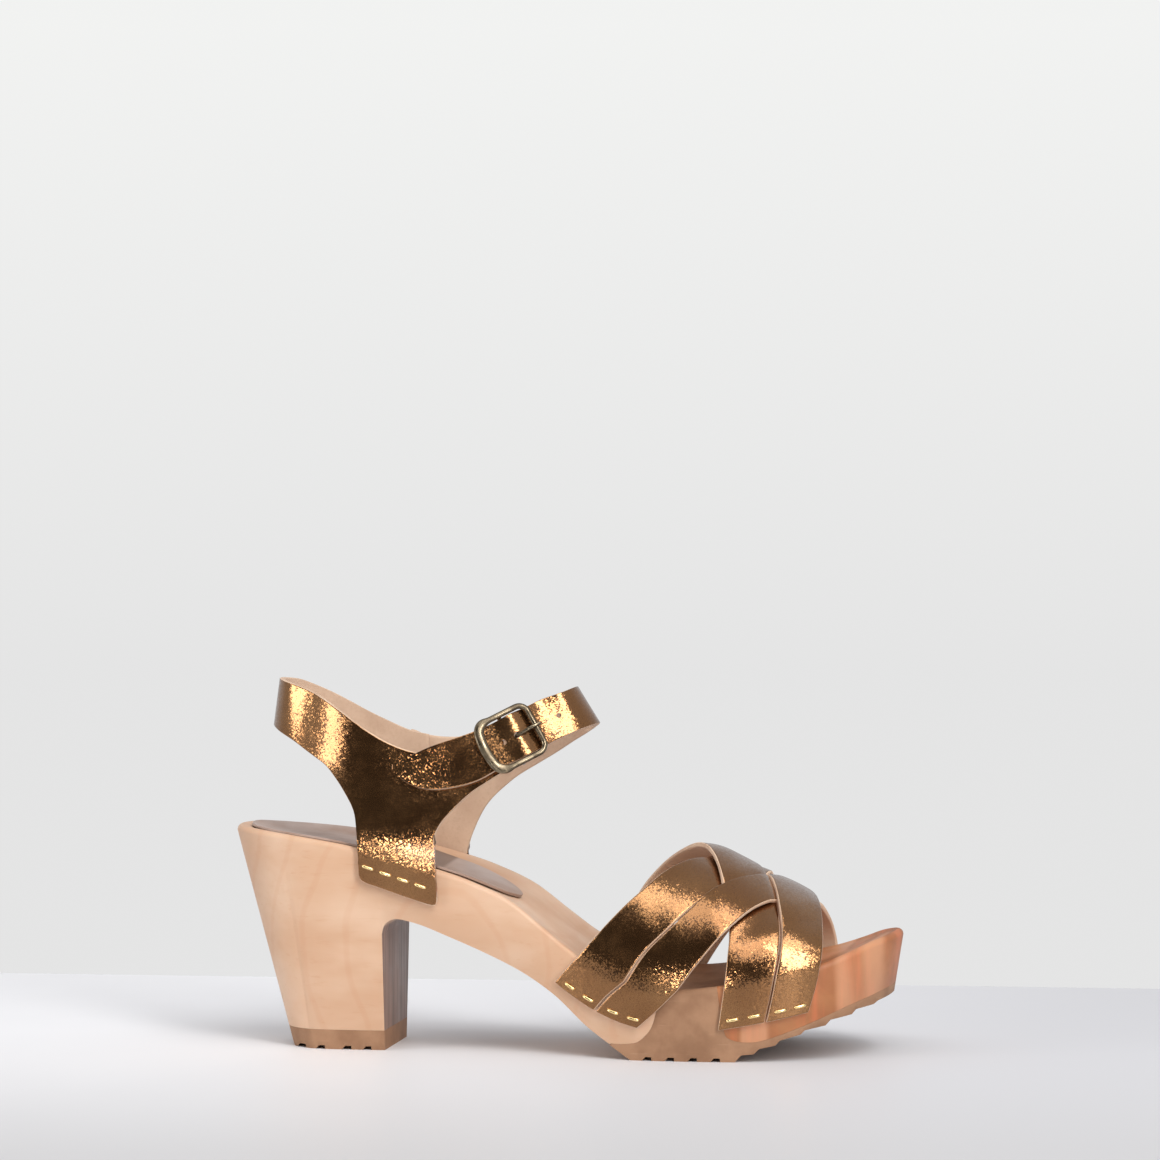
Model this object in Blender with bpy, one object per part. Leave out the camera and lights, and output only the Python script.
"""Wooden clog sandal with a block heel, for the right foot.

The sole is two carved wood blocks joined by a rubber outsole that bends at the ball of the foot.
Four leather straps are woven over the toes, and a quarter with a buckled strap holds the ankle.
Lengths are in millimetres here and become metres when a mesh is made.
X points to the toe, Y to the inner side of the foot, Z up. The origin is under the heel.
"""

import math

import bmesh
import bpy
import numpy as np
from mathutils import Matrix

MM = 0.001
GAP = 0.3
LEATHER = 2.0

# Sole outline at the top edge: one row a section from the heel's back to the toe tip.
# Columns: x and y on the outer side, x and y on the inner side, then how far the wall moves
# forward (shift) and inward (inset) on its way down to the floor.
OUTLINE = [
    (-38.3, 0.0, -38.3, 0.0, 20.3, 0.0),
    (-36.6, -10.5, -36.6, 10.0, 19.6, 3.2),
    (-31.5, -19.5, -31.5, 19.0, 16.5, 6.5),
    (-23.0, -26.5, -23.0, 26.0, 12.0, 8.5),
    (-11.0, -30.8, -11.0, 30.3, 6.0, 9.2),
    (6.0, -32.3, 6.0, 31.5, 2.0, 9.5),
    (24.0, -32.4, 24.0, 31.2, 0.0, 9.0),
    (42.0, -31.8, 42.0, 30.0, 0.0, 6.5),
    (60.0, -32.4, 60.0, 29.5, 0.0, 4.0),
    (78.0, -36.0, 78.0, 31.5, 0.0, 2.5),
    (96.0, -41.2, 96.0, 35.5, 0.0, 2.0),
    (112.0, -44.8, 112.0, 39.5, 0.0, 1.7),
    (128.0, -46.0, 128.0, 42.5, 0.0, 1.5),
    (144.0, -45.6, 144.0, 44.3, 0.0, 1.5),
    (159.0, -42.6, 160.0, 43.8, -0.5, 1.5),
    (172.0, -37.6, 174.0, 40.8, -1.2, 1.8),
    (183.0, -30.0, 185.5, 35.0, -2.6, 2.2),
    (191.2, -20.0, 193.5, 26.5, -4.5, 2.0),
    (196.8, -8.5, 198.2, 16.5, -6.0, 1.0),
    (199.0, 4.5, 199.0, 4.5, -6.7, 0.0),
]

# Height of the sole's top edge. Columns: x, z, how deep the footbed is dished, how far the
# inner edge stands above the outer one.
RIM = [
    (-42.0, 78.7, 2.0, 0.0),
    (-34.5, 78.2, 2.4, 0.0),
    (-20.0, 76.7, 3.0, 0.0),
    (0.0, 73.8, 3.0, 0.4),
    (20.0, 69.6, 2.6, 1.0),
    (37.5, 64.8, 2.0, 1.4),
    (50.0, 60.7, 1.6, 1.6),
    (64.4, 54.2, 1.4, 1.6),
    (77.5, 44.5, 1.4, 1.4),
    (88.0, 36.8, 1.6, 1.2),
    (100.0, 30.2, 1.8, 1.0),
    (112.0, 26.4, 1.8, 1.0),
    (124.0, 25.0, 1.8, 1.0),
    (136.0, 25.8, 1.6, 1.0),
    (150.0, 28.0, 1.4, 0.8),
    (163.0, 30.6, 1.2, 0.5),
    (175.0, 33.6, 1.0, 0.3),
    (185.0, 37.4, 0.8, 0.0),
    (192.5, 40.5, 0.6, 0.0),
    (202.0, 43.2, 0.4, 0.0),
]
EDGE_ROUND = 2.0
DISH_REACH = 16.0

# Side profiles of the sole's pieces, as (x, z). They run on past the sole at the back, over
# the top and ahead of the toe.
PAST_HEEL_X = -60.0
PAST_TOE_X = 212.0
OVER_TOP_Z = 100.0
BREAST_X = 18.6
WOOD_FOOT_Z = 7.0
UNDER_ARCH = [
    (BREAST_X, WOOD_FOOT_Z),
    (BREAST_X, 41.6),
    (19.6, 44.8),
    (22.0, 46.6),
    (25.5, 46.8),
    (33.0, 44.8),
    (41.7, 41.3),
    (54.0, 36.2),
    (67.3, 30.1),
    (76.0, 25.0),
    (83.0, 19.9),
    (92.4, 11.4),
    (100.7, 5.5),
]
JOINT_REAR = [
    (100.7, 5.5),
    (109.7, 6.0),
    (113.7, 8.6),
    (116.2, 12.1),
    (117.9, 17.7),
    (119.6, 24.0),
    (121.4, 32.0),
]
JOINT_FRONT = [
    (138.2, 32.0),
    (139.0, 26.5),
    (141.3, 11.2),
    (143.8, 7.9),
    (149.2, 6.9),
    (155.4, 7.7),
    (166.2, 11.5),
    (173.4, 14.5),
    (183.5, 18.8),
    (191.0, 21.6),
    (PAST_TOE_X, 29.4),
]

# Where the joint's two faces end at the top, past the last row of their profiles.
REAR_BLOCK_END_X = 122.0
TOE_BLOCK_START_X = 137.8
# Room between the rubber and each of those two ends.
RUBBER_ROOM = 0.4

# Tread of the outsole and of the heel lift: flat lands on the floor, then the steps of the
# toe spring. Columns of the lands: x at the back, x at the front.
OUTSOLE_LANDS = [(108.4, 112.6), (116.0, 120.6), (124.0, 128.6), (132.0, 136.6), (140.0, 145.0)]
LIFT_LANDS = [(-26.0, -14.6), (-10.6, -6.6), (-3.0, 3.0), (6.6, 10.6), (13.8, BREAST_X)]
TREAD_DEPTH = 1.3
TOE_STEPS = [
    (147.2, 2.4),
    (151.6, 2.8),
    (153.4, 4.6),
    (158.8, 5.7),
    (160.4, 7.4),
    (167.4, 9.4),
    (168.8, 10.8),
    (175.6, 12.2),
    (177.0, 14.0),
    (184.0, 15.4),
    (185.2, 17.0),
    (190.8, 18.0),
    (192.0, 19.0),
    (PAST_TOE_X, 25.4),
]
OUTSOLE_HEEL_CORNER = (100.9, 5.1)

# Leather heel sock. Columns: x, half width on the outer side, half width on the inner side.
SOCK = [
    (-33.0, 1.5, 1.5),
    (-32.0, 7.0, 7.0),
    (-29.0, 13.0, 12.6),
    (-23.5, 19.0, 18.6),
    (-15.0, 24.0, 23.6),
    (-5.0, 26.8, 26.2),
    (9.0, 27.6, 27.0),
    (24.0, 26.8, 26.0),
    (38.0, 24.4, 24.0),
    (50.0, 19.6, 19.0),
    (58.0, 14.0, 13.0),
    (62.0, 9.6, 8.6),
    (64.4, 4.6, 4.0),
    (65.2, 1.2, 1.0),
]
SOCK_THICK = 1.1
SOCK_ROOM = 0.25

# Height of the arch that the woven straps follow over the foot. Columns: x, z.
CREST = [
    (75.0, 83.0),
    (90.0, 80.5),
    (105.0, 78.0),
    (120.0, 73.5),
    (128.0, 71.0),
    (137.0, 68.5),
    (147.5, 63.0),
    (155.0, 59.5),
    (163.0, 55.5),
    (170.0, 51.5),
    (182.0, 45.5),
]
# Place across the foot: -1 is the outer edge of the sole, 0 the crest, 1 the inner edge, and
# beyond 1 the strap runs down the wall, WALL_RUN mm for each unit.
WALL_RUN = 50.0
STRAP_PLACES = [
    -1.3, -1.15, -1.0, -0.85, -0.7, -0.55, -0.4, -0.25, -0.1,
    0.05, 0.2, 0.35, 0.5, 0.65, 0.8, 1.0, 1.15, 1.3,
]
# One row a strap: x of its rear edge and x of its front edge at each place.
STRAPS = {
    "rear_a": (
        [81.5, 85.5, 90.0, 96.5, 104.0, 112.0, 119.0, 126.0, 132.0,
         135.6, 136.4, 136.2, 136.2, 136.8, 138.0, 139.5, 140.0, 140.0],
        [95.8, 100.5, 106.8, 113.5, 122.5, 131.0, 139.0, 145.6, 150.4,
         152.2, 152.0, 151.8, 152.2, 153.0, 154.0, 155.3, 155.6, 155.2],
    ),
    "rear_b": (
        [96.5, 101.2, 107.5, 114.2, 123.2, 131.7, 139.7, 146.4, 151.2,
         153.1, 152.8, 152.5, 152.9, 153.7, 154.7, 156.0, 156.3, 155.9],
        [111.3, 118.4, 125.6, 133.8, 141.8, 148.6, 155.3, 161.3, 165.3,
         167.2, 167.8, 168.4, 169.8, 171.0, 171.8, 172.6, 172.4, 171.5],
    ),
    "front_a": (
        [139.5, 140.6, 141.7, 142.6, 142.7, 141.5, 139.2, 136.2, 132.4,
         127.9, 122.9, 116.9, 110.4, 103.8, 98.3, 91.5, 87.5, 84.0],
        [155.2, 157.0, 158.5, 159.7, 160.0, 159.3, 157.7, 155.6, 152.8,
         149.0, 144.4, 137.4, 129.0, 121.0, 114.5, 107.5, 103.5, 99.8],
    ),
    "front_b": (
        [155.9, 157.7, 159.2, 160.4, 160.7, 160.0, 158.4, 156.3, 153.5,
         149.7, 145.1, 138.1, 129.7, 121.7, 115.2, 108.2, 104.2, 100.5],
        [169.8, 172.2, 173.8, 174.4, 174.4, 173.9, 173.1, 171.9, 170.2,
         167.8, 164.2, 158.2, 150.2, 142.0, 134.5, 125.4, 120.4, 116.2],
    ),
}
# Weave: the places where a strap passes over (+1) or under (-1) another one.
WEAVE = {
    "rear_a": [(-0.08, -1.0), (0.43, 1.0)],
    "rear_b": [(-0.38, 1.0), (0.03, -1.0)],
    "front_a": [(-0.38, -1.0), (-0.08, 1.0)],
    "front_b": [(0.03, 1.0), (0.43, -1.0)],
}
WEAVE_LIFT = 0.75
WEAVE_REACH = 0.26

# Quarter with the heel strap, from under the buckle round the heel to the inner side.
# Columns: x, y and z of the lower edge, then x, y and z of the upper edge.
QUARTER = [
    (62.0, -28.4, 99.2, 60.6, -26.1, 112.6),
    (56.5, -29.7, 95.6, 54.0, -28.2, 110.2),
    (51.0, -30.7, 92.0, 48.5, -29.8, 108.3),
    (46.5, -31.2, 88.0, 44.5, -30.6, 107.0),
    (43.0, -31.5, 84.3, 41.2, -31.2, 106.2),
    (39.8, -31.6, 80.3, 38.8, -31.5, 105.8),
    (37.8, -31.7, 75.6, 37.4, -31.7, 105.6),
    (38.0, -31.7, 69.0, 37.2, -31.7, 105.6),
    (38.4, -31.7, 61.0, 36.9, -31.7, 105.5),
    (38.8, -31.7, 53.4, 36.6, -31.7, 105.5),
    (36.8, -31.7, 52.2, 35.2, -31.7, 105.4),
    (30.0, -31.8, 54.2, 30.0, -31.8, 105.7),
    (24.0, -31.7, 56.2, 24.6, -31.7, 107.2),
    (18.0, -31.5, 58.3, 18.8, -31.5, 109.7),
    (13.8, -31.1, 59.7, 14.0, -31.1, 112.4),
    (11.6, -30.8, 61.6, 11.2, -30.8, 114.1),
    (11.3, -30.8, 66.8, 10.7, -30.7, 114.5),
    (10.9, -30.8, 72.0, 10.2, -30.7, 114.8),
    (10.4, -30.7, 78.0, 9.6, -30.6, 115.2),
    (9.1, -30.6, 84.9, 7.7, -30.3, 116.4),
    (5.3, -29.8, 91.5, 5.0, -29.5, 118.3),
    (1.6, -28.6, 96.5, 1.5, -28.2, 120.6),
    (-2.0, -27.1, 100.4, -2.0, -26.6, 122.8),
    (-6.5, -24.7, 103.3, -6.0, -24.2, 125.0),
    (-10.5, -21.9, 105.7, -10.0, -21.3, 126.7),
    (-15.5, -17.3, 108.8, -14.3, -16.6, 128.2),
    (-20.0, -11.7, 111.2, -18.4, -11.2, 129.4),
    (-23.2, -6.0, 112.9, -21.2, -5.8, 130.1),
    (-24.5, 0.0, 113.7, -22.2, 0.0, 130.4),
    (-23.2, 6.0, 113.2, -21.2, 5.8, 130.2),
    (-20.0, 11.7, 112.0, -18.8, 11.2, 129.6),
    (-15.5, 16.6, 109.8, -15.2, 16.0, 127.9),
    (-9.0, 21.2, 106.5, -9.0, 20.8, 124.8),
    (-2.7, 24.2, 103.6, -2.7, 23.9, 121.3),
    (3.5, 26.1, 101.0, 3.2, 25.9, 117.9),
    (9.0, 27.2, 98.8, 8.8, 27.1, 115.0),
    (18.5, 28.0, 96.0, 18.4, 28.0, 110.7),
    (26.0, 28.2, 94.5, 25.8, 28.2, 109.0),
]

# Inner quarter that runs on as the ankle strap, round the front and through the buckle. Its
# columns are those of the table above.
ANKLE_STRAP = [
    (12.0, 27.4, 63.0, 12.8, 27.5, 84.0),
    (14.2, 27.6, 60.6, 15.2, 27.7, 97.0),
    (18.0, 27.9, 59.0, 18.0, 28.0, 110.0),
    (24.0, 28.1, 57.0, 24.0, 28.2, 108.9),
    (30.0, 28.2, 55.0, 30.2, 28.2, 108.1),
    (36.8, 28.1, 52.7, 36.6, 28.1, 108.1),
    (39.0, 28.0, 53.8, 38.8, 27.8, 108.6),
    (39.3, 28.0, 61.2, 39.8, 27.7, 108.9),
    (39.7, 27.9, 68.4, 40.8, 27.6, 109.2),
    (41.6, 27.7, 74.2, 43.6, 27.0, 110.1),
    (44.7, 27.3, 80.6, 47.5, 26.0, 111.6),
    (48.0, 26.8, 85.2, 51.5, 24.6, 113.3),
    (52.5, 25.9, 89.6, 56.0, 22.9, 115.2),
    (58.1, 24.4, 94.2, 60.5, 21.2, 117.2),
    (65.0, 21.9, 98.4, 65.6, 19.0, 119.5),
    (72.4, 18.6, 102.7, 70.6, 15.6, 121.7),
    (78.8, 14.4, 106.8, 74.8, 11.9, 123.6),
    (84.6, 9.0, 110.2, 78.2, 7.9, 125.0),
    (88.4, 2.8, 112.6, 80.6, 3.1, 126.0),
    (89.6, -3.0, 113.4, 81.4, -2.0, 126.3),
    (88.4, -8.4, 113.2, 80.9, -6.9, 126.2),
    (85.0, -13.6, 112.2, 79.0, -11.6, 125.5),
    (80.4, -18.2, 110.2, 75.6, -15.8, 124.3),
    (75.0, -22.3, 107.7, 71.0, -19.4, 122.4),
    (68.2, -26.0, 104.3, 64.9, -24.4, 119.0),
    (60.9, -28.7, 100.5, 58.2, -26.9, 115.3),
    (54.0, -30.2, 96.3, 51.0, -29.1, 112.6),
    (47.7, -31.1, 94.1, 45.0, -30.6, 110.7),
    (39.7, -31.6, 92.7, 39.5, -31.5, 109.0),
    (34.0, -31.7, 93.0, 34.0, -31.7, 106.8),
    (29.0, -31.8, 94.6, 29.4, -31.8, 104.6),
    (25.6, -31.8, 97.0, 25.8, -31.8, 102.9),
    (22.8, -31.7, 99.8, 22.9, -31.7, 101.2),
]
# Height over which a band goes from lying on the wood's wall to standing free.
BLEND_UP = 30.0
# Room left between the leather and the slanted wall, over the usual gap.
WALL_ROOM = 0.3
# The ankle strap's middle lies this far outside the quarter's, where it crosses it.
OUTER_LAYER = LEATHER + GAP + 0.05

# Buckle, on the ankle strap at BUCKLE_ROW of its table, and the punched holes of the strap.
BUCKLE_ROW = 24.45
BUCKLE_LONG = 18.8
BUCKLE_WIDE = 18.4
BUCKLE_CORNER = 3.4
BUCKLE_WIRE = 1.1
BUCKLE_RAISE = 1.0
BAR_WIRE = 0.8
BAR_DROP = 3.4
PRONG_WIRE = 0.7
PRONG_HOLE_AT = 2.0
HOLE_RADIUS = 1.15
# Rows of the ankle strap's table where a hole is punched.
HOLE_ROWS = [22.0, 24.8]

# Wire staples: crown length, wire radius, how much the crown bows, and how far a staple stands
# above the end of a strap.
STAPLE_LONG = 4.0
STAPLE_WIRE = 0.45
STAPLE_BOW = 0.25
STAPLE_ABOVE_END = 3.0
# Where the two staples of a strap end are, as a share of the strap's width.
STAPLE_SPOTS = (0.28, 0.74)
# X of the four staples on each side tab, and the line that they follow: its height at
# TAB_LINE_X and its fall for each millimetre forward.
TAB_STAPLES_X = (14.6, 20.8, 27.0, 33.2)
TAB_LINE_X = 13.8
TAB_LINE_Z = 65.6
TAB_LINE_FALL = 0.34

MATERIALS = {
    "alder_wood": ((0.72, 0.45, 0.28), 0.0, 0.55),
    "tan_rubber": ((0.40, 0.24, 0.16), 0.0, 0.75),
    "bronze_leather": ((0.36, 0.20, 0.07), 0.6, 0.35),
    "sock_leather": ((0.18, 0.14, 0.12), 0.0, 0.7),
    "aged_brass": ((0.30, 0.25, 0.16), 1.0, 0.4),
    "bright_brass": ((0.75, 0.55, 0.22), 1.0, 0.25),
}


def clear_scene():
    """Removes the objects that a new scene starts with."""
    for obj in list(bpy.data.objects):
        bpy.data.objects.remove(obj, do_unlink=True)


def collection(name, hidden=False):
    made = bpy.data.collections.new(name)
    made.hide_render = hidden
    bpy.context.scene.collection.children.link(made)
    return made


def give_material(obj, slot):
    """A Principled material of the object's own, in the colours of its slot."""
    colour, metal, rough = MATERIALS[slot]
    mat = bpy.data.materials.new(obj.name + "_" + slot)
    mat.use_nodes = True
    shader = mat.node_tree.nodes["Principled BSDF"]
    shader.inputs["Base Color"].default_value = (*colour, 1.0)
    shader.inputs["Metallic"].default_value = metal
    shader.inputs["Roughness"].default_value = rough
    mat.diffuse_color = (*colour, 1.0)
    obj.data.materials.clear()
    obj.data.materials.append(mat)


def smooth_step(t):
    t = np.clip(t, 0.0, 1.0)
    return t * t * (3.0 - 2.0 * t)


def flow(rows, steps, closed=False):
    """Points of a smooth curve through the rows: each span is a cubic whose slopes come from
    the neighbouring rows, cut into the given number of steps."""
    rows = np.array(rows, float)
    count = len(rows)
    spans = count if closed else count - 1
    out = []
    for i in range(spans):
        if closed:
            p = [rows[(i + k) % count] for k in (-1, 0, 1, 2)]
        else:
            p = [rows[min(max(i + k, 0), count - 1)] for k in (-1, 0, 1, 2)]
        m1 = 0.5 * (p[2] - p[0])
        m2 = 0.5 * (p[3] - p[1])
        for s in range(steps):
            t = s / steps
            h00 = 2 * t**3 - 3 * t**2 + 1
            h10 = t**3 - 2 * t**2 + t
            h01 = -2 * t**3 + 3 * t**2
            h11 = t**3 - t**2
            out.append(h00 * p[1] + h10 * m1 + h01 * p[2] + h11 * m2)
    if not closed:
        out.append(rows[-1])
    return np.array(out)


def outline_sides():
    """The sole's two edges as (x, y, x at the floor, y at the floor), heel to toe, with the
    same number of points on each."""
    outer = [(r[0], r[1], r[0] + r[4], r[1] + r[5]) for r in OUTLINE]
    inner = [(r[2], r[3], r[2] + r[4], r[3] - r[5]) for r in OUTLINE]
    loop = outer + inner[-2:0:-1]
    steps = 3
    ring = flow(loop, steps, closed=True)
    half = (len(OUTLINE) - 1) * steps
    side_a = ring[: half + 1]
    side_b = np.vstack([ring[half:], ring[:1]])[::-1]
    return side_a, side_b


OUTER_EDGE, INNER_EDGE = outline_sides()
RIM_TABLE = flow(RIM, 8)
CREST_TABLE = flow(CREST, 8)


def rim_z(x):
    return np.interp(x, RIM_TABLE[:, 0], RIM_TABLE[:, 1])


def edge_z(x, side):
    """Height of the sole's top edge on the outer side (-1) or the inner side (1)."""
    lift = np.interp(x, RIM_TABLE[:, 0], RIM_TABLE[:, 3]) if side > 0 else 0.0
    return float(rim_z(x) + lift)


def footbed_z(x, y):
    """Height of the footbed: the rim's height, raised toward the inner side and sunk by a dish
    that grows smoothly with the distance from the sole's edge."""
    x = np.asarray(x, float)
    y = np.asarray(y, float)
    edge = np.vstack([OUTER_EDGE, INNER_EDGE])[:, :2]
    away = np.sqrt((x[..., None] - edge[:, 0]) ** 2 + (y[..., None] - edge[:, 1]) ** 2).min(-1)
    dish = np.interp(x, RIM_TABLE[:, 0], RIM_TABLE[:, 2])
    lift = np.interp(x, RIM_TABLE[:, 0], RIM_TABLE[:, 3])
    return rim_z(x) + lift * smooth_step(0.5 + y / 60.0) - dish * smooth_step(away / DISH_REACH)


def wall_y(x, z, side):
    """Y of the sole's wall at (x, z), on the outer side (-1) or the inner side (1)."""
    edge = OUTER_EDGE if side < 0 else INNER_EDGE
    top = footbed_z(edge[:, 0], edge[:, 1]) - EDGE_ROUND
    down = np.clip(1.0 - z / top, 0.0, 1.0)
    xs = edge[:, 0] + (edge[:, 2] - edge[:, 0]) * down
    ys = edge[:, 1] + (edge[:, 3] - edge[:, 1]) * down
    return float(np.interp(x, xs, ys))


def mesh_object(name, points, faces, home, slot):
    """A mesh from points in millimetres, with its faces turned outward."""
    mesh = bpy.data.meshes.new(name)
    mesh.from_pydata([tuple(float(c) * MM for c in p) for p in points], [], faces)
    built = bmesh.new()
    built.from_mesh(mesh)
    bmesh.ops.remove_doubles(built, verts=built.verts, dist=1e-6)
    bmesh.ops.recalc_face_normals(built, faces=built.faces)
    built.to_mesh(mesh)
    built.free()
    obj = bpy.data.objects.new(name, mesh)
    home.objects.link(obj)
    if slot:
        give_material(obj, slot)
    return obj


def evaluated(obj):
    """Replaces the object's mesh by what its modifiers make of it."""
    graph = bpy.context.evaluated_depsgraph_get()
    graph.update()
    mesh = bpy.data.meshes.new_from_object(obj.evaluated_get(graph))
    obj.modifiers.clear()
    old = obj.data
    obj.data = mesh
    bpy.data.meshes.remove(old)
    return obj


def boolean(obj, other, how):
    """Cuts, joins or intersects with another object, and clears stray doubled points."""
    step = obj.modifiers.new("boolean", "BOOLEAN")
    step.operation = how
    step.solver = "EXACT"
    step.object = other
    evaluated(obj)
    built = bmesh.new()
    built.from_mesh(obj.data)
    bmesh.ops.remove_doubles(built, verts=built.verts, dist=2e-6)
    bmesh.ops.dissolve_degenerate(built, edges=built.edges, dist=2e-6)
    built.to_mesh(obj.data)
    built.free()
    return obj


def drop(obj):
    bpy.data.objects.remove(obj, do_unlink=True)


def sole_blank(home):
    """The sole's outline as one block from below the floor up to the dished footbed."""
    rings = []
    inner_first = INNER_EDGE[::-1][1:-1]
    edge = np.vstack([OUTER_EDGE, inner_first])
    count = len(edge)
    half = len(OUTER_EDGE) - 1
    spine_x = np.interp(np.arange(half + 1), [0, half], [-20.0, 180.0])
    middle_y = 0.5 * (OUTER_EDGE[:, 1] + INNER_EDGE[:, 1])
    spine = np.column_stack([spine_x, np.interp(spine_x, OUTER_EDGE[:, 0], middle_y)])
    spine = np.vstack([spine, spine[::-1][1:-1]])
    inward = spine - edge[:, :2]
    reach = np.linalg.norm(inward, axis=1)
    inward = inward / reach[:, None]
    top = footbed_z(edge[:, 0], edge[:, 1])
    rings.append(np.column_stack([edge[:, 2], edge[:, 3], np.full(count, -4.0)]))
    rings.append(np.column_stack([edge[:, 2], edge[:, 3], np.zeros(count)]))
    for turn in (0.0, 45.0, 90.0):
        angle = math.radians(turn)
        inset = EDGE_ROUND * (1.0 - math.cos(angle))
        sink = EDGE_ROUND * (1.0 - math.sin(angle))
        place = edge[:, :2] + inward * inset
        rings.append(np.column_stack([place, top - sink]))
    for inset in (5.5, 10.0, 15.0):
        far = np.minimum(inset, reach * (0.35 + inset / 60.0))
        place = edge[:, :2] + inward * far[:, None]
        rings.append(np.column_stack([place, footbed_z(place[:, 0], place[:, 1])]))
    rings.append(np.column_stack([spine, footbed_z(spine[:, 0], spine[:, 1])]))
    points = np.vstack(rings)
    faces = []
    for level in range(len(rings) - 1):
        for i in range(count):
            j = (i + 1) % count
            a = level * count
            b = a + count
            faces.append((a + i, a + j, b + j, b + i))
    faces.append(tuple(range(count)))
    return mesh_object("sole_blank", points, faces, home, None)


def side_profile(name, profile, home, half=80.0):
    """A closed (x, z) outline run across the whole sole, to cut it with."""
    curve = bpy.data.curves.new(name, "CURVE")
    curve.dimensions = "2D"
    curve.fill_mode = "BOTH"
    curve.extrude = half * MM
    line = curve.splines.new("POLY")
    line.points.add(len(profile) - 1)
    for point, (x, z) in zip(line.points, profile):
        point.co = (x * MM, z * MM, 0.0, 1.0)
    line.use_cyclic_u = True
    obj = bpy.data.objects.new(name, curve)
    obj.matrix_world = Matrix.Rotation(math.radians(90.0), 4, "X")
    home.objects.link(obj)
    return meshed(obj)


def meshed(obj):
    """Turns a curve object into a mesh object in place, with welded points."""
    graph = bpy.context.evaluated_depsgraph_get()
    graph.update()
    mesh = bpy.data.meshes.new_from_object(obj.evaluated_get(graph))
    mesh.transform(obj.matrix_world)
    built = bmesh.new()
    built.from_mesh(mesh)
    bmesh.ops.remove_doubles(built, verts=built.verts, dist=1e-6)
    bmesh.ops.recalc_face_normals(built, faces=built.faces)
    built.to_mesh(mesh)
    built.free()
    name = obj.name
    homes = list(obj.users_collection)
    bpy.data.objects.remove(obj, do_unlink=True)
    made = bpy.data.objects.new(name, mesh)
    for home in homes:
        home.objects.link(made)
    return made


def shade(obj, degrees=35.0):
    for face in obj.data.polygons:
        face.use_smooth = True
    obj.data.set_sharp_from_angle(angle=math.radians(degrees))


def sole_piece(name, profile, blank, home, tools, slot):
    """The part of the sole's block that lies inside a side profile."""
    piece = bpy.data.objects.new(name, blank.data.copy())
    home.objects.link(piece)
    cutter = side_profile(name + "_profile", profile, tools)
    boolean(piece, cutter, "INTERSECT")
    drop(cutter)
    give_material(piece, slot)
    shade(piece)
    return piece


def moved(line, away):
    """A line moved sideways by a distance, to its right when it runs forward."""
    line = np.array(line, float)
    slope = np.gradient(line, axis=0)
    slope /= np.linalg.norm(slope, axis=1)[:, None]
    return line + away * np.column_stack([slope[:, 1], -slope[:, 0]])


def tread(lands):
    """Floor profile from back to front: flat lands with slanted grooves between them."""
    line = []
    for i, (back, front) in enumerate(lands):
        line.append((back, 0.0))
        line.append((front, 0.0))
        if i < len(lands) - 1:
            ahead = lands[i + 1][0]
            line.append((front + 0.35 * (ahead - front), TREAD_DEPTH))
            line.append((ahead - 0.1, TREAD_DEPTH))
    return line


def build_sole(home, tools):
    blank = sole_blank(tools)
    under = flow(UNDER_ARCH[1:], 3)
    rear_face = flow(JOINT_REAR, 3)
    front_face = flow(JOINT_FRONT, 3)

    rear = [(PAST_HEEL_X, OVER_TOP_Z), (PAST_HEEL_X, WOOD_FOOT_Z), UNDER_ARCH[0]]
    rear += [tuple(p) for p in under] + [tuple(p) for p in rear_face[1:]]
    rear += [(REAR_BLOCK_END_X, OVER_TOP_Z)]
    sole_piece("rear_wood_block", rear, blank, home, tools, "alder_wood")

    front = [(TOE_BLOCK_START_X, OVER_TOP_Z)] + [tuple(p) for p in front_face]
    front += [(PAST_TOE_X, OVER_TOP_Z)]
    sole_piece("toe_wood_block", front, blank, home, tools, "alder_wood")

    rubber_rear = [tuple(p) for p in moved(rear_face, GAP)][1:]
    rubber_front = [tuple(p) for p in moved(front_face, GAP)]
    rubber = [OUTSOLE_HEEL_CORNER] + tread(OUTSOLE_LANDS) + TOE_STEPS
    rubber += rubber_front[::-1]
    rubber += [(TOE_BLOCK_START_X - RUBBER_ROOM, OVER_TOP_Z)]
    rubber += [(REAR_BLOCK_END_X + RUBBER_ROOM, OVER_TOP_Z)] + rubber_rear[::-1]
    sole_piece("forefoot_outsole", rubber, blank, home, tools, "tan_rubber")

    lift = [(PAST_HEEL_X, 0.0)] + tread(LIFT_LANDS)
    lift += [(BREAST_X, WOOD_FOOT_Z - GAP), (PAST_HEEL_X, WOOD_FOOT_Z - GAP)]
    sole_piece("heel_lift", lift, blank, home, tools, "tan_rubber")
    drop(blank)


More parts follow.
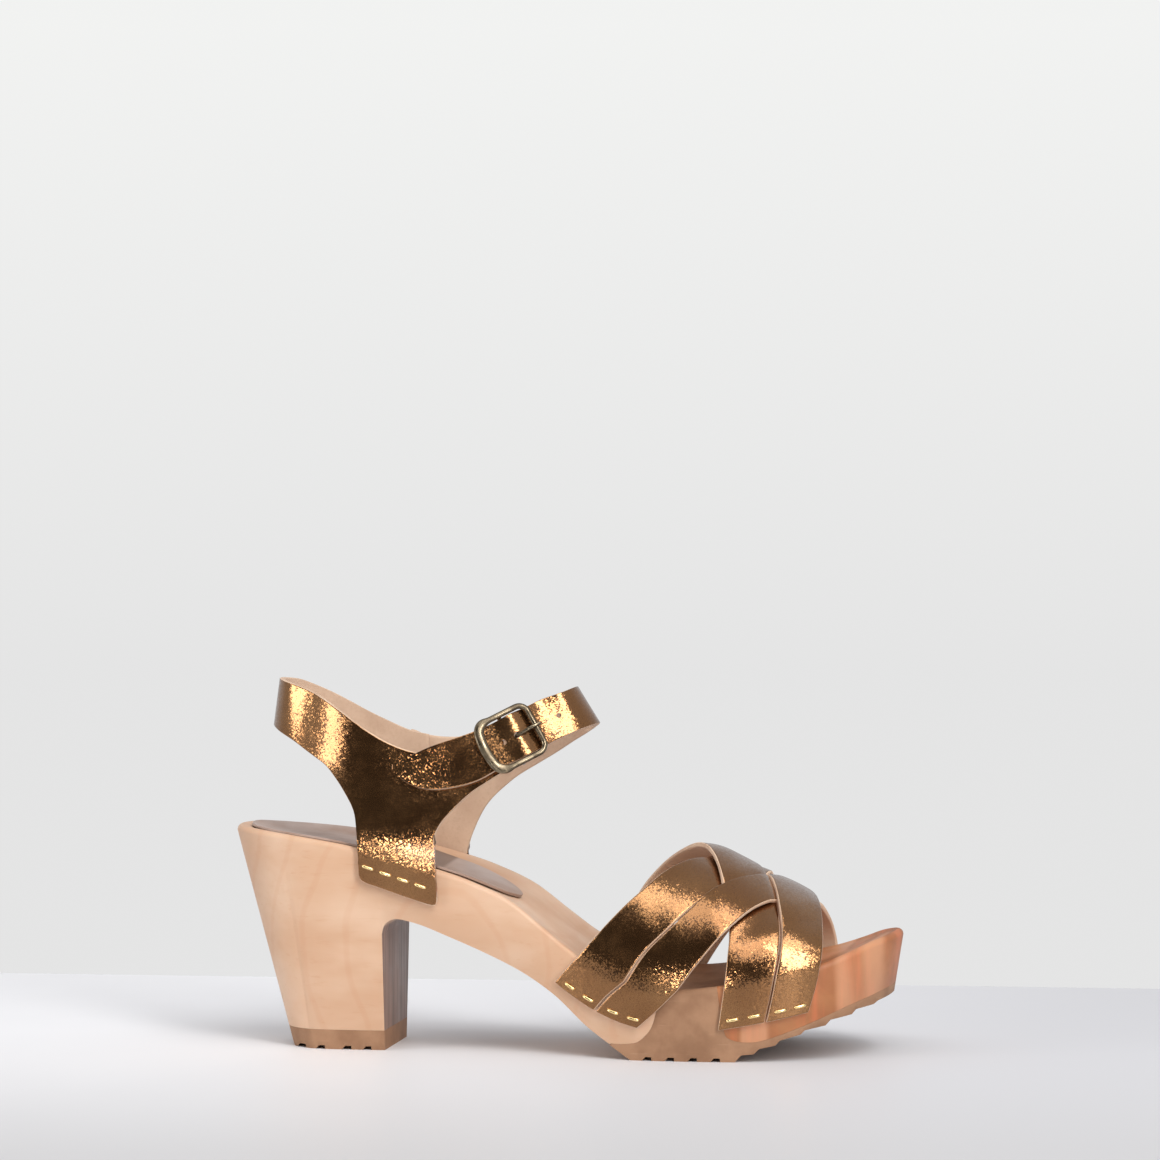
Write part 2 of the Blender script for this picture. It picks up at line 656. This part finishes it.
def sheet_solid(name, grid, thick, home, slot, shade_at=35.0):
    """A closed sheet of even thickness about a grid of points: the grid is moved half the
    thickness to each side along its own normals, and the rims are closed."""
    grid = np.array(grid, float)
    rows, cols = grid.shape[:2]
    normal = grid_normals(grid)
    faces_up = grid + normal * (thick / 2)
    faces_down = grid - normal * (thick / 2)
    points = np.vstack([faces_up.reshape(-1, 3), faces_down.reshape(-1, 3)])
    size = rows * cols
    faces = []
    for i in range(rows - 1):
        for j in range(cols - 1):
            a = i * cols + j
            faces.append((a, a + 1, a + cols + 1, a + cols))
            faces.append((size + a, size + a + cols, size + a + cols + 1, size + a + 1))
    rim = [(0, j) for j in range(cols)] + [(i, cols - 1) for i in range(1, rows)]
    rim += [(rows - 1, j) for j in range(cols - 2, -1, -1)]
    rim += [(i, 0) for i in range(rows - 2, 0, -1)]
    rim = [i * cols + j for i, j in rim]
    for k, a in enumerate(rim):
        b = rim[(k + 1) % len(rim)]
        faces.append((b, a, a + size, b + size))
    obj = mesh_object(name, points, faces, home, slot)
    shade(obj, shade_at)
    return obj


def grid_normals(grid):
    """Unit normals of a grid of points. Each one is the sum over its neighbourhood, so that a
    narrow sheared cell counts for little."""
    normal = np.cross(np.gradient(grid, axis=0), np.gradient(grid, axis=1))
    rows, cols = normal.shape[:2]
    wide = np.pad(normal, ((1, 1), (1, 1), (0, 0)), mode="edge")
    total = sum(wide[i : i + rows, j : j + cols] for i in range(3) for j in range(3))
    return total / np.linalg.norm(total, axis=2)[:, :, None]


def build_sock(home):
    """The heel sock, laid on the footbed."""
    rows = flow(SOCK, 2)
    across = np.linspace(-1.0, 1.0, 9)
    grid = []
    for x, outer, inner in rows:
        y = np.where(across < 0.0, across * outer, across * inner)
        z = footbed_z(np.full(len(y), x), y) + GAP + SOCK_ROOM + SOCK_THICK / 2
        grid.append(np.column_stack([np.full(len(y), x), y, z]))
    sheet_solid("heel_sock", grid, SOCK_THICK, home, "sock_leather")


def arch_point(x, place, lift=0.0):
    """Point of the arch that the straps follow. Over the foot it is a quarter ellipse on each
    side, from the sole's edge up to the crest; beyond the edge it runs down the wall."""
    out = GAP + LEATHER / 2 + 0.05
    base = edge_z(x, -1.0 if place < 0.0 else 1.0)
    outer = wall_y(x, base - EDGE_ROUND, -1) - out
    inner = wall_y(x, base - EDGE_ROUND, 1) + out
    rise = np.interp(x, CREST_TABLE[:, 0], CREST_TABLE[:, 1]) - base
    middle = 0.5 * (outer + inner)
    side = -1.0 if place < 0.0 else 1.0
    if abs(place) > 1.0:
        z = base - (abs(place) - 1.0) * WALL_RUN
        y = wall_y(x, min(z, base - EDGE_ROUND), side) + side * out
        return np.array([x, y, z])
    angle = place * math.pi / 2
    half = (inner - middle) if side > 0.0 else (middle - outer)
    y = middle + half * math.sin(angle)
    z = base + rise * math.cos(angle)
    return np.array([x, y + lift * math.sin(angle), z + lift * math.cos(angle)])


def strap_grid(name, columns=5, steps=2):
    """Grid of one woven strap: rows across the foot, columns from its rear to its front edge."""
    rear, front = STRAPS[name]
    rows = flow(list(zip(STRAP_PLACES, rear, front)), steps)
    grid = []
    for place, back, ahead in rows:
        lift = 0.0
        for where, sign in WEAVE[name]:
            near = max(0.0, 1.0 - abs(place - where) / WEAVE_REACH)
            lift += sign * WEAVE_LIFT * float(smooth_step(1.6 * near))
        xs = np.linspace(back, ahead, columns)
        grid.append([arch_point(x, place, lift) for x in xs])
    return np.array(grid)


def build_vamp(home, tools):
    """Four woven straps joined where they cross."""
    whole = None
    for name in STRAPS:
        grid = strap_grid(name)[:, ::-1]
        strap = sheet_solid("vamp_" + name, grid, LEATHER, tools, None)
        if whole is None:
            whole = strap
            continue
        boolean(whole, strap, "UNION")
        drop(strap)
    whole.name = "woven_vamp"
    tools.objects.unlink(whole)
    home.objects.link(whole)
    give_material(whole, "bronze_leather")
    shade(whole)
    return whole


def band_grid(table, layer, levels=11, steps=1):
    """Grid of a leather band between its lower and upper edge. Near the sole it lies on the
    wood's wall, and higher up it stands free. layer moves it outward along its normals."""
    rows = flow(table, steps)
    share = np.linspace(0.0, 1.0, levels)
    grid = []
    for row in rows:
        line = []
        for s in share:
            x, y, z = row[:3] + (row[3:] - row[:3]) * s
            side = -1.0 if y < 0.0 else 1.0
            base = edge_z(x, side)
            free = float(smooth_step((z - base) / BLEND_UP))
            out = GAP + LEATHER / 2 + WALL_ROOM + layer
            wall = wall_y(x, min(z, base - EDGE_ROUND), side) + side * out
            line.append((x, y * free + wall * (1.0 - free), z))
        grid.append(line)
    grid = np.array(grid)
    return grid + layer * grid_normals(grid)


def frame_at(grid, row, steps=1):
    """Place, direction along the band, direction across it and outward normal at a row."""
    middle = grid.shape[1] // 2
    at = row * steps
    i = int(at)
    t = at - i
    here = grid[i, middle] * (1 - t) + grid[i + 1, middle] * t
    along = grid[i + 1, middle] - grid[i, middle]
    across = grid[i, -1] - grid[i, 0]
    along = along / np.linalg.norm(along)
    normal = np.cross(along, across)
    normal = normal / np.linalg.norm(normal)
    across = np.cross(normal, along)
    return here, along, across, normal


def wire(name, points, radius, home, slot, cyclic=False, sides=2):
    """A round wire along a line of points."""
    curve = bpy.data.curves.new(name, "CURVE")
    curve.dimensions = "3D"
    curve.bevel_depth = radius * MM
    curve.bevel_resolution = sides
    curve.use_fill_caps = not cyclic
    line = curve.splines.new("POLY")
    line.points.add(len(points) - 1)
    for point, place in zip(line.points, points):
        point.co = (*(float(c) * MM for c in place), 1.0)
    line.use_cyclic_u = cyclic
    obj = bpy.data.objects.new(name, curve)
    home.objects.link(obj)
    obj = meshed(obj)
    if slot:
        give_material(obj, slot)
    shade(obj, 50.0)
    return obj


def build_uppers(home):
    quarter = sheet_solid(
        "quarter_heel_strap", band_grid(QUARTER, 0.0), LEATHER, home, "bronze_leather"
    )
    grid = band_grid(ANKLE_STRAP, -OUTER_LAYER)
    strap = sheet_solid("ankle_strap", grid, LEATHER, home, "bronze_leather")
    return quarter, strap, grid


def build_buckle(home, tools, strap, grid):
    here, along, across, normal = frame_at(grid, BUCKLE_ROW)
    out = -normal if normal[1] > 0.0 else normal
    ahead = -along if along[0] < 0.0 else along
    up = across if across[2] > 0.0 else -across
    face = here + out * (LEATHER / 2)

    def place(a, c, n):
        return face + ahead * a + up * c + out * n

    ring = []
    for sx, sy, start in ((1, 1, 0), (-1, 1, 90), (-1, -1, 180), (1, -1, 270)):
        for k in range(5):
            turn = math.radians(start + k * 22.5)
            a = sx * (BUCKLE_LONG / 2 - BUCKLE_CORNER) + BUCKLE_CORNER * math.cos(turn)
            c = sy * (BUCKLE_WIDE / 2 - BUCKLE_CORNER) + BUCKLE_CORNER * math.sin(turn)
            ring.append(place(a, c, BUCKLE_RAISE))
    frame = wire("buckle_frame", ring, BUCKLE_WIRE, home, "aged_brass", cyclic=True)
    edge = BUCKLE_WIDE / 2
    bar = [
        place(0.0, edge, BUCKLE_RAISE),
        place(0.0, edge, -BAR_DROP + 0.8),
        place(0.0, edge - 0.8, -BAR_DROP),
        place(0.0, 0.0, -BAR_DROP),
        place(0.0, 0.8 - edge, -BAR_DROP),
        place(0.0, -edge, -BAR_DROP + 0.8),
        place(0.0, -edge, BUCKLE_RAISE),
    ]
    post = wire("buckle_bar", bar, BAR_WIRE, tools, None)
    boolean(frame, post, "UNION")
    drop(post)
    shade(frame, 50.0)
    high = BUCKLE_RAISE + BUCKLE_WIRE + PRONG_WIRE + GAP
    prong = [
        place(PRONG_HOLE_AT, 0.0, -BAR_DROP + 0.6),
        place(PRONG_HOLE_AT, 0.0, -0.4),
        place(PRONG_HOLE_AT + 0.5, 0.0, 0.9),
        place(PRONG_HOLE_AT + 1.8, 0.0, 1.4),
        place(8.0, 0.0, high - 0.1),
        place(BUCKLE_LONG / 2, 0.0, high + 0.1),
        place(BUCKLE_LONG / 2 + 1.6, 0.0, high),
    ]
    wire("buckle_prong", prong, PRONG_WIRE, home, "aged_brass")
    spots = [(place(PRONG_HOLE_AT, 0.0, 0.0), out)]
    for row in HOLE_ROWS:
        centre, _, _, facing = frame_at(grid, row)
        spots.append((centre, facing))
    for centre, facing in spots:
        drill = wire(
            "strap_drill",
            [centre - facing * 4.0, centre + facing * 4.0],
            HOLE_RADIUS,
            tools,
            None,
        )
        boolean(strap, drill, "DIFFERENCE")
        drop(drill)
    shade(strap)


def staple(name, centre, along, out, home):
    """The crown of a wire staple, bowed a little, standing just over the leather."""
    along = along / np.linalg.norm(along)
    out = out / np.linalg.norm(out)
    line = []
    for t in (-0.5, 0.0, 0.5):
        bow = STAPLE_BOW * (1.0 - 4.0 * t * t)
        line.append(centre + along * (t * STAPLE_LONG) + out * (STAPLE_WIRE + GAP + bow))
    wire(name, line, STAPLE_WIRE, home, "bright_brass", sides=0)


def build_staples(home):
    end = STRAP_PLACES[-1]
    place = end - STAPLE_ABOVE_END / WALL_RUN
    for name, (rear, front) in STRAPS.items():
        rows = {-1: (rear[0], front[0]), 1: (rear[-1], front[-1])}
        nexts = {-1: (rear[1], front[1]), 1: (rear[-2], front[-2])}
        share = (end - place) / (STRAP_PLACES[-1] - STRAP_PLACES[-2])
        for side, word in ((-1, "outer"), (1, "inner")):
            back = rows[side][0] + share * (nexts[side][0] - rows[side][0])
            ahead = rows[side][1] + share * (nexts[side][1] - rows[side][1])
            for n, spot in enumerate(STAPLE_SPOTS):
                x = back + spot * (ahead - back)
                here = arch_point(x, side * place)
                along = arch_point(x + 1.0, side * place) - here
                down = arch_point(x, side * (place + 0.02)) - here
                out = np.cross(along, down)
                out = out * (1.0 if out[1] * side > 0.0 else -1.0)
                out = out / np.linalg.norm(out)
                centre = here + out * (LEATHER / 2)
                staple(f"staple_{name}_{word}_{n + 1}", centre, along, out, home)
    out_by = GAP + LEATHER + WALL_ROOM
    for side, word in ((-1, "outer"), (1, "inner")):
        for n, x in enumerate(TAB_STAPLES_X):
            spots = []
            for at in (x - 1.0, x + 1.0):
                z = TAB_LINE_Z - TAB_LINE_FALL * (at - TAB_LINE_X)
                spots.append(np.array([at, wall_y(at, z, side) + side * out_by, z]))
            here = 0.5 * (spots[0] + spots[1])
            along = spots[1] - spots[0]
            above = np.array([x, wall_y(x, here[2] + 2.0, side) + side * out_by, here[2] + 2.0])
            out = np.cross(along, above - here)
            out = out * (1.0 if out[1] * side > 0.0 else -1.0)
            staple(f"staple_tab_{word}_{n + 1}", here, along, out, home)


def main():
    clear_scene()
    home = collection("clog_sandal")
    tools = collection("cutters", hidden=True)
    build_sole(home, tools)
    build_sock(home)
    build_vamp(home, tools)
    _, strap, grid = build_uppers(home)
    build_buckle(home, tools, strap, grid)
    build_staples(home)


main()
